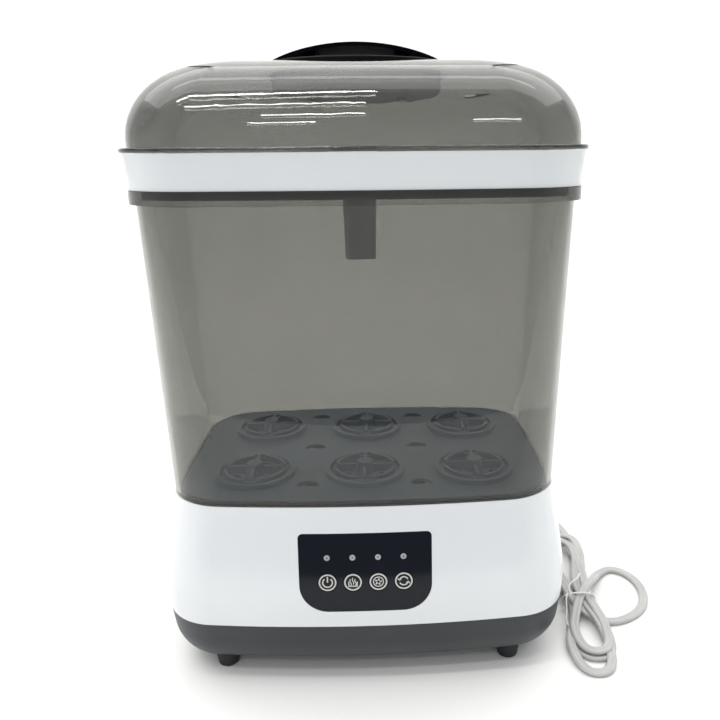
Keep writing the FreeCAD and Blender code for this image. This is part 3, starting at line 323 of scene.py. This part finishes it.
def brushed(name, colour, rough, along=(1.0, 1.0, 12.0), metallic=1.0):
    """Metal with fine drawn lines: noise stretched along one axis drives the tone, the roughness and the
    relief."""
    mix = Finish(name, Metallic=metallic)
    where = mix.add("ShaderNodeMapping", inputs={"Vector": mix.place, "Scale": along})
    lines = mix.noise(0.0012, 4.0, where)
    return mix.feed(Base_Color=mix.tone(lines, colour, 0.12), Roughness=lines * 0.18 + (rough - 0.09),
                    Normal=mix.bump(lines, 0.00002))


def finish_nodes(material, *names):
    """Puts a material on the CAD nodes of those names."""
    for name in names:
        for slot in node[name].material_slots:
            slot.material = material


cord_sheath = moulded("cord_sheath", (0.48, 0.48, 0.465), 0.42, tint=0.05, grain=0.0004, relief=0.00003,
                      ripple=0.02)
mains_cord.data.materials.append(cord_sheath)
finish_nodes(cord_sheath, "cord_gland", "plug_body")
finish_nodes(brushed("nickel_blades", (0.72, 0.70, 0.62), 0.25, along=(12.0, 1.0, 1.0)), "plug_blades")
cord_tie.data.materials.append(moulded("tie_coating", (0.70, 0.70, 0.69), 0.35, relief=0.00002))
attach(mains_cord, "base")
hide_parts("cord_lead", "cord_hank", "cord_tail")
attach(cord_tie, "base")
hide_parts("cord_tie")

# ---- pan, feet and screws -----------------------------------------------------------------------
# The pan is one dark satin moulding with a round lower edge; its soft feet plug in, and four plated
# screws go up through it into the deck.
finish_nodes(moulded("pan_plastic", (0.024, 0.028, 0.033), 0.40, tint=0.10, relief=0.00002), "base_pan",
             "board_posts")
finish_nodes(moulded("foot_rubber", (0.010, 0.011, 0.012), 0.62, tint=0.15, relief=0.00006), "rubber_feet")
finish_nodes(brushed("zinc_plate", (0.62, 0.63, 0.64), 0.34), "pan_screws", "board_screws", "handle_screws",
             "thermostat_bracket", "fan_motor")

# ---- white mouldings ----------------------------------------------------------------------------
# Shell, deck, filter door and collar are polished white ABS straight from the tool.
white_abs = moulded("white_abs", (0.80, 0.825, 0.84), 0.16, tint=0.008, grain=0.0009, relief=0.000004,
                    ripple=0.05, smear=0.03, Coat_Weight=0.35, Coat_Roughness=0.06)
finish_nodes(white_abs, "base_shell", "inner_deck", "filter_door", "collar_ring")

# ---- control panel ------------------------------------------------------------------------------
# Gloss black acrylic in the shell's leaning recess. Four caps of the same gloss carry printed white rings
# and symbols, a frosted light pipe shows above each, and the circuit board behind them takes their
# presses.
panel_gloss = moulded("panel_gloss", (0.002, 0.004, 0.009), 0.10, tint=0.05, relief=0.000002, smear=0.02,
                      Specular_IOR_Level=0.28)
finish_nodes(panel_gloss, "control_panel", "power_button", "steam_button", "dry_button", "auto_button")

LEAN = math.atan2(4.3, 37.0)
OUTWARD = np.array([0.0, -math.cos(LEAN), math.sin(LEAN)])
CAP_RIGHT = np.array([1.0, 0.0, 0.0])
CAP_UP = np.array([0.0, math.sin(LEAN), math.cos(LEAN)])
INK_RISE = 0.00006
RING_RADIUS = 5.05
RING_WIDE = 0.95


def front_middle(name):
    """The middle of the face, or faces, of a node that look straight out of the panel."""
    held = node[name]
    found = np.zeros(len(held.data.vertices) * 3)
    held.data.vertices.foreach_get("co", found)
    turn = np.array(held.matrix_world)
    found = found.reshape(-1, 3) @ turn[:3, :3].T + turn[:3, 3]
    reach = found @ OUTWARD
    face = found[reach > reach.max() - 0.00002]
    return (face.min(axis=0) + face.max(axis=0)) / 2


def inked(middle, flat, wide):
    """A printed line: a flat band of that width, in millimetres, along points given right and up from the
    middle."""
    flat = np.asarray(flat, dtype=float) * 0.001
    points = middle + flat[:, :1] * CAP_RIGHT + flat[:, 1:] * CAP_UP
    band = np.array([(-1, -1), (1, -1), (1, 1), (-1, 1)]) * (wide * 0.0005, INK_RISE)
    return swept(points, band, up=OUTWARD)


def arc(radius, start, end, count=40):
    """Points round a circle between two angles in degrees."""
    turn = np.radians(np.linspace(start, end, count))
    return np.column_stack([radius * np.cos(turn), radius * np.sin(turn)])


rise = np.linspace(0, 1, 24)
vapour = [np.column_stack([x + 0.42 * np.sin(2 * np.pi * rise), -1.5 + 4.4 * rise - abs(x) * 0.5])
          for x in (-1.5, 0.0, 1.5)]
blade = np.column_stack([0.8 + 1.3 * rise, 0.55 * rise ** 2])
spokes = [blade @ np.array([(math.cos(a), math.sin(a)), (-math.sin(a), math.cos(a))])
          for a in 2 * np.pi * np.arange(5) / 5]
marks = {
    "power_button": [(arc(3.0, 128, 412), 0.85), ([(0.0, 0.1), (0.0, 2.0), (0.0, 3.9)], 0.85)],
    "steam_button": [([(-2.6, 0.5), (-2.6, -1.0)], 0.75), ([(-2.98, -2.6), (0, -2.6), (2.98, -2.6)], 0.75),
                     ([(-2.6, -0.9), (-2.6, -2.6)], 0.75), ([(2.6, 0.5), (2.6, -1.0), (2.6, -2.6)], 0.75)]
                    + [(line, 0.55) for line in vapour],
    "dry_button": [(arc(3.1, 0, 360), 0.6)] + [(line, 1.0) for line in spokes],
    "auto_button": [(arc(2.7, 25, 165), 0.8), (arc(2.7, 205, 345), 0.8),
                    ([(-3.7, 1.7), (-2.7, 0.3), (-1.5, 1.5)], 0.7),
                    ([(3.7, -1.7), (2.7, -0.3), (1.5, -1.5)], 0.7)],
}
ink = moulded("panel_ink", (0.60, 0.59, 0.56), 0.5, tint=0.05)
for name, lines in marks.items():
    middle = front_middle(name)
    ring = inked(middle, arc(RING_RADIUS, 0, 360, 72), RING_WIDE)
    mark = skin(name + "_mark", [ring] + [inked(middle, line, wide) for line, wide in lines], smooth=False)
    mark.data.materials.append(ink)
    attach(mark, body_of_node[name])

lens_face = front_middle("indicator_lenses")
lens_middles = [np.array([front_middle(name)[0], lens_face[1], lens_face[2]]) for name in marks]
core = [(-0.5, 0), (0, 0), (0.5, 0)]
lens_cores = skin("lens_cores", [inked(middle, core, 1.0) for middle in lens_middles], smooth=False)
lens_cores.data.materials.append(moulded("lens_core", (0.10, 0.10, 0.11), 0.4))
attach(lens_cores, "base")

lens_frost = moulded("lens_frost", (0.42, 0.44, 0.45), 0.45, tint=0.03)
finish_nodes(lens_frost, "indicator_lenses", "indicator_leds")
finish_nodes(moulded("board_mask", (0.02, 0.16, 0.07), 0.32, tint=0.2), "control_board", "power_board")
finish_nodes(moulded("part_black", (0.022, 0.022, 0.024), 0.5, tint=0.2), "tact_switches", "thermostat",
             "fan_impeller")

# ---- heater and fan -----------------------------------------------------------------------------
# A pressed stainless dish on a silicone seal with its sheathed element below, and beside it the fan that
# blows through a finned air heater and a moulded duct. The door at the back holds a pleated fibre filter.
finish_nodes(brushed("dish_steel", (0.66, 0.66, 0.65), 0.24, along=(1.0, 6.0, 1.0)), "heating_plate")
finish_nodes(brushed("element_sheath", (0.42, 0.41, 0.40), 0.42), "heating_element", "air_heater")
finish_nodes(moulded("seal_silicone", (0.70, 0.69, 0.66), 0.55, tint=0.04, relief=0.00004), "plate_seal")
finish_nodes(moulded("duct_plastic", (0.66, 0.67, 0.67), 0.42, tint=0.03, relief=0.00003), "fan_housing",
             "air_duct")
finish_nodes(moulded("filter_fibre", (0.78, 0.79, 0.78), 0.9, tint=0.08, grain=0.0003, relief=0.0002),
             "air_filter")

# ---- smoked tub and lid -------------------------------------------------------------------------
# Both are clear smoked plastic, polished; the tub is tapered so that it leaves its mould, and so is the
# dome.
def smoked(name, tint, density):
    """Clear smoked plastic: a surface tint, an absorption that darkens thick places, and lamps shine
    through it."""
    mix = Finish(name, Transmission_Weight=1.0, IOR=1.49, Roughness=0.0)
    slow = mix.noise(0.045, 1.5)
    smoke = mix.tree.nodes.new("ShaderNodeVolumeAbsorption")
    smoke.inputs["Color"].default_value = (0.04, 0.04, 0.0, 1.0)
    smoke.inputs["Density"].default_value = density
    mix.tree.links.new(smoke.outputs[0], mix.tree.nodes["Material Output"].inputs["Volume"])
    through = mix.add("ShaderNodeBsdfTransparent", inputs={"Color": [c ** 0.5 for c in tint] + [1.0]})
    lamp_ray = mix.add("ShaderNodeLightPath", output="Is Shadow Ray")
    glass = Wire(mix, mix.shader.outputs[0])
    both = mix.add("ShaderNodeMixShader", inputs={0: lamp_ray, 1: glass, 2: through})
    mix.tree.links.new(both.socket, mix.tree.nodes["Material Output"].inputs["Surface"])
    return mix.feed(Base_Color=mix.tone(slow, tint, 0.01), Normal=mix.bump(slow, 0.000001))


finish_nodes(smoked("tub_smoke", (0.51, 0.51, 0.49), 95.0), "tub")
finish_nodes(smoked("lid_smoke", (0.53, 0.53, 0.515), 130.0), "lid_shell")

# ---- tray, rack and outlet cap ------------------------------------------------------------------
# Satin polypropylene mouldings that lift out for washing: a blue-grey tray with raised rings and crosses
# for six bottle necks, a pale grey rack in the collar, and the cap over the hot-air outlet.
finish_nodes(moulded("tray_plastic", (0.25, 0.30, 0.36), 0.30, tint=0.05, relief=0.00002), "bottle_tray",
             "outlet_grille")
finish_nodes(moulded("rack_plastic", (0.74, 0.75, 0.75), 0.40, tint=0.06, relief=0.00003), "accessory_tray")

# ---- handle -------------------------------------------------------------------------------------
# A black arched grip screwed to a cup in the lid's top. The cup is black where fingers reach it, down to
# a line under its rim. Below that line its hidden wall is painted pale grey, a painted light that stands in
# for the room's light seen through the smoked dome.
handle_black = moulded("handle_black", (0.003, 0.004, 0.005), 0.6, tint=0.1, relief=0.00001,
                       Specular_IOR_Level=0.008)
finish_nodes(handle_black, "handle_grip")
CUP_RIM = 0.0045
cup = node["handle_cup"]
line = (cup.matrix_world.inverted() @ Vector((0, 0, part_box("handle_cup")[1].z - CUP_RIM))).z
cup_finish = Finish("cup_plastic", Specular_IOR_Level=0.1)
upward = cup_finish.add("ShaderNodeSeparateXYZ", inputs={0: cup_finish.place}, output="Z")
# Black above the line. Pale grey below it is painted light, standing in for light seen through the dome.
stops = [(line - 0.0004, (0.42, 0.42, 0.415, 1.0)), (line, (0.003, 0.004, 0.005, 1.0))]
black_rim_painted_light = cup_finish.add("ShaderNodeValToRGB", {"stops": stops}, {"Fac": upward})
cup_finish.feed(Base_Color=black_rim_painted_light, Roughness=cup_finish.noise(0.002) * 0.06 + 0.5)
finish_nodes(cup_finish.material, "handle_cup")

# ---- floor, backdrop and light ------------------------------------------------------------------
# A pale sweep: a floor that rises behind through a large round into a wall, and drops by a step in front.
SWEEP_FRONT = -0.34
STEP_DOWN = -0.335
SWEEP_BACK = 1.3
SWEEP_ROUND = 0.5
depth = np.linspace(SWEEP_FRONT, SWEEP_BACK, 24)
bend = np.linspace(0, np.pi / 2, 24)[1:]
wall = np.linspace(SWEEP_ROUND, 3.5, 12)[1:]
step = [(-1.27, STEP_DOWN), (-0.8, STEP_DOWN), (SWEEP_FRONT - 0.02, STEP_DOWN),
        (SWEEP_FRONT - 0.005, STEP_DOWN / 2)]
large_round = np.column_stack([np.sin(bend), 1 - np.cos(bend)]) * SWEEP_ROUND + (SWEEP_BACK, 0.0)
run = np.concatenate([step, np.column_stack([depth, np.zeros(24)]), large_round,
                      np.column_stack([np.full(11, SWEEP_BACK + SWEEP_ROUND), wall])])
wide = np.linspace(-4.0, 4.0, 9)
across_it, along_it = np.meshgrid(wide, np.arange(len(run))[::-1], indexing="ij")
sweep = skin("sweep", [np.stack([across_it, run[along_it, 0], run[along_it, 1]], axis=-1)], closed=False)
sweep.data.materials.append(moulded("sweep_paper", (0.90, 0.895, 0.87), 0.75, tint=0.01, grain=0.004,
                                    ripple=0.4))

# The room is bright behind, above and beside the object and dimmer straight in front of it.
ROOM_IN_FRONT = 0.42
ROOM_ELSEWHERE = 0.72
world = bpy.data.worlds.new("room")
scene.world = world
world.use_nodes = True
room = world.node_tree
shine = room.nodes["Background"]
shine.inputs["Color"].default_value = (0.95, 0.975, 1.0, 1.0)
facing = room.nodes.new("ShaderNodeTexCoord")
parts = room.nodes.new("ShaderNodeSeparateXYZ")
room.links.new(facing.outputs["Generated"], parts.inputs[0])
near = room.nodes.new("ShaderNodeMapRange")
near.interpolation_type = "SMOOTHSTEP"
near.inputs["From Min"].default_value = -0.75
near.inputs["From Max"].default_value = -0.35
near.inputs["To Min"].default_value = ROOM_IN_FRONT
near.inputs["To Max"].default_value = ROOM_ELSEWHERE
room.links.new(parts.outputs["Y"], near.inputs["Value"])
room.links.new(near.outputs[0], shine.inputs["Strength"])


def lamp(name, place, aim, size, watts, spin=0):
    """A soft rectangular lamp at a place, facing a point, turned that many degrees about the upright."""
    light = bpy.data.lights.new(name, "AREA")
    light.shape, light.size, light.size_y = "RECTANGLE", size[0], size[1]
    light.energy = watts
    stand = bpy.data.objects.new(name, light)
    scene.collection.objects.link(stand)
    stand.location = place
    stand.rotation_mode = "QUATERNION"
    facing_it = (Vector(aim) - Vector(place)).to_track_quat("-Z", "Y")
    stand.rotation_quaternion = Quaternion((0, 0, 1), math.radians(spin)) @ facing_it


lamp("overhead", (0.0, 0.72, 2.2), (0, 0.3, 0.1), (4.8, 2.2), 55)
lamp("backdrop_wash", (0.0, 0.6, 2.6), (0, 1.8, 1.4), (3.0, 0.5), 10)
for name, x, y, long, watts in (("tube_one", -0.575, -0.53, 1.25, 10), ("tube_two", -0.48, -1.15, 0.97, 7),
                                ("tube_three", -0.345, -2.1, 0.71, 5), ("tube_four", -0.79, -3.3, 0.66, 5),
                                ("tube_five", 1.15, -2.9, 0.42, 3)):
    lamp(name, (x, y, 2.1), (x, 0, 0.2), (long, 0.08), watts, spin=9)
scene.view_settings.view_transform = "Standard"
